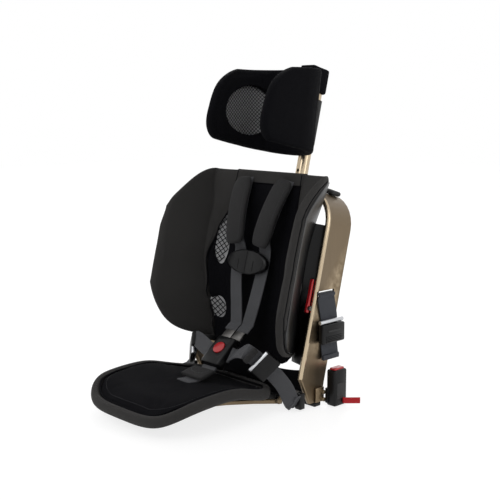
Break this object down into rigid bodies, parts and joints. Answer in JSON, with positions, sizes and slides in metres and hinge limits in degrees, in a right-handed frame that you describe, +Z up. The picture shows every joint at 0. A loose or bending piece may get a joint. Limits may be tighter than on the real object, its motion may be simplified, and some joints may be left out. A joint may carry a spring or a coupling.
{
  "type": "travel car seat",
  "caption": "Folding travel car seat: aluminium hoop frame, padded back with deep wings, headrest on a pole, five point harness, hinged seat pan and side latch connectors.",
  "frame": {"origin": "on the floor, under the middle of the base cross bar, between the feet of the hoop's two legs", "axes": "+X to the left hand of the child in the seat, +Y to the rear, +Z up"},
  "size_m": [0.4174, 0.5319, 0.6346],
  "materials": {
    "bronze": "satin anodised, warm bronze",
    "knit": "black spacer knit",
    "wing_cloth": "smooth dark grey bonded cloth",
    "pad_cloth": "smooth dark grey pad cover",
    "webbing": "ribbed charcoal webbing",
    "black_plastic": "fine grained black",
    "silver": "silver grey bar",
    "red": "red release parts",
    "rubber": "black bumper",
    "steel": "dark coated steel"
  },
  "bodies": {
    "frame": {"hoop_frame": "bronze", "base_cross_bar": "black_plastic", "back_panel": "knit", "wing_pad_left": "wing_cloth", "wing_pad_right": "wing_cloth", "back_shell": "black_plastic", "shell_bracket_left": "black_plastic", "shell_bracket_right": "black_plastic", "pole_guide": "black_plastic", "crown_bumper_left": "rubber", "crown_bumper_right": "rubber", "lever_mount_left": "black_plastic", "lever_mount_right": "black_plastic", "hinge_bolt_left": "steel", "hinge_bolt_right": "steel", "shoulder_pad_left": "pad_cloth", "shoulder_pad_right": "pad_cloth", "harness_web_left": "webbing", "harness_web_right": "webbing", "chest_clip_right": "black_plastic", "hip_web_left": "webbing", "hip_web_right": "webbing", "hip_adjuster_left": "black_plastic", "hip_adjuster_right": "black_plastic", "hip_anchor_left": "black_plastic", "hip_anchor_right": "black_plastic", "latch_web_left": "webbing", "latch_web_right": "webbing", "latch_bar_left": "silver", "latch_bar_right": "silver", "latch_lug_left": "bronze", "latch_lug_right": "bronze", "connector_left": "black_plastic", "connector_right": "black_plastic", "pull_tape_left": "red", "pull_tape_right": "red"},
    "seat": {"seat_shell": "black_plastic", "seat_pad": "knit", "seat_border": "wing_cloth", "seat_frame": "bronze"},
    "buckle": {"buckle_body": "black_plastic", "tongue_left": "steel", "tongue_right": "steel", "crotch_web": "webbing", "crotch_pad": "pad_cloth"},
    "buckle_press": {"buckle_button": "red"},
    "headrest": {"headrest_pole": "bronze", "headrest_pad": "knit", "headrest_shell": "black_plastic", "headrest_mesh": "knit", "headrest_bracket": "black_plastic", "headrest_pocket": "knit"},
    "height_lock": {"height_lock_button": "red"},
    "lever_left": {"fold_lever_left": "red"},
    "lever_right": {"fold_lever_right": "red"},
    "chest_clip": {"chest_clip_left": "black_plastic"},
    "adjuster_left": {"latch_adjuster_left": "black_plastic"},
    "adjuster_right": {"latch_adjuster_right": "black_plastic"},
    "release_left": {"connector_button_left": "red"},
    "release_right": {"connector_button_right": "red"}
  },
  "joints": [
    {"name": "seat_fold", "type": "hinge", "parent": "frame", "child": "seat", "pos_m": [0, 0.01, 0.0235], "axis": [-1, 0, 0], "range_deg": [0, 47], "deforming": ["harness_web_left", "harness_web_right", "hip_web_left", "hip_web_right", "hip_adjuster_left", "hip_adjuster_right"]},
    {"name": "buckle_swing", "type": "hinge", "parent": "seat", "child": "buckle", "pos_m": [0, -0.15, 0.0537], "axis": [-1, 0, 0], "range_deg": [-94, 0], "deforming": ["crotch_web", "crotch_pad"]},
    {"name": "buckle_button_press", "type": "slide", "parent": "buckle", "child": "buckle_press", "axis": [0, 0.6428, -0.766], "range_m": [0, 0.003], "stiffness_N_per_m": 800, "springref_m": -0.001},
    {"name": "headrest_height", "type": "slide", "parent": "frame", "child": "headrest", "axis": [0, 0.2436, 0.9699], "range_m": [-0.02, 0.08]},
    {"name": "height_lock_press", "type": "slide", "parent": "frame", "child": "height_lock", "axis": [0, -0.9699, 0.2436], "range_m": [0, 0.004], "stiffness_N_per_m": 500, "springref_m": -0.001},
    {"name": "fold_lever_left_swing", "type": "hinge", "parent": "frame", "child": "lever_left", "pos_m": [0.1418, 0.0083, 0.1892], "axis": [1, 0, 0], "range_deg": [0, 8], "stiffness_Nm_per_rad": 0.3, "springref_deg": -2.86},
    {"name": "fold_lever_right_swing", "type": "hinge", "parent": "frame", "child": "lever_right", "pos_m": [-0.1418, 0.0083, 0.1892], "axis": [1, 0, 0], "range_deg": [0, 8], "stiffness_Nm_per_rad": 0.3, "springref_deg": -2.86},
    {"name": "chest_clip_slide", "type": "slide", "parent": "frame", "child": "chest_clip", "axis": [1, 0, 0], "range_m": [0, 0.014]},
    {"name": "latch_adjuster_left_tilt", "type": "hinge", "parent": "frame", "child": "adjuster_left", "pos_m": [0.1621, 0.056, 0.16], "axis": [0, -1, 0], "range_deg": [0, 25]},
    {"name": "latch_adjuster_right_tilt", "type": "hinge", "parent": "frame", "child": "adjuster_right", "pos_m": [-0.1621, 0.056, 0.16], "axis": [0, 1, 0], "range_deg": [0, 25]},
    {"name": "connector_button_left_press", "type": "slide", "parent": "frame", "child": "release_left", "axis": [0, 0, -1], "range_m": [0, 0.003], "stiffness_N_per_m": 600, "springref_m": -0.001},
    {"name": "connector_button_right_press", "type": "slide", "parent": "frame", "child": "release_right", "axis": [0, 0, -1], "range_m": [0, 0.003], "stiffness_N_per_m": 600, "springref_m": -0.001}
  ],
  "couplings": [
    {"joint": "buckle_swing", "follows": "seat_fold", "ratio": -2}
  ]
}
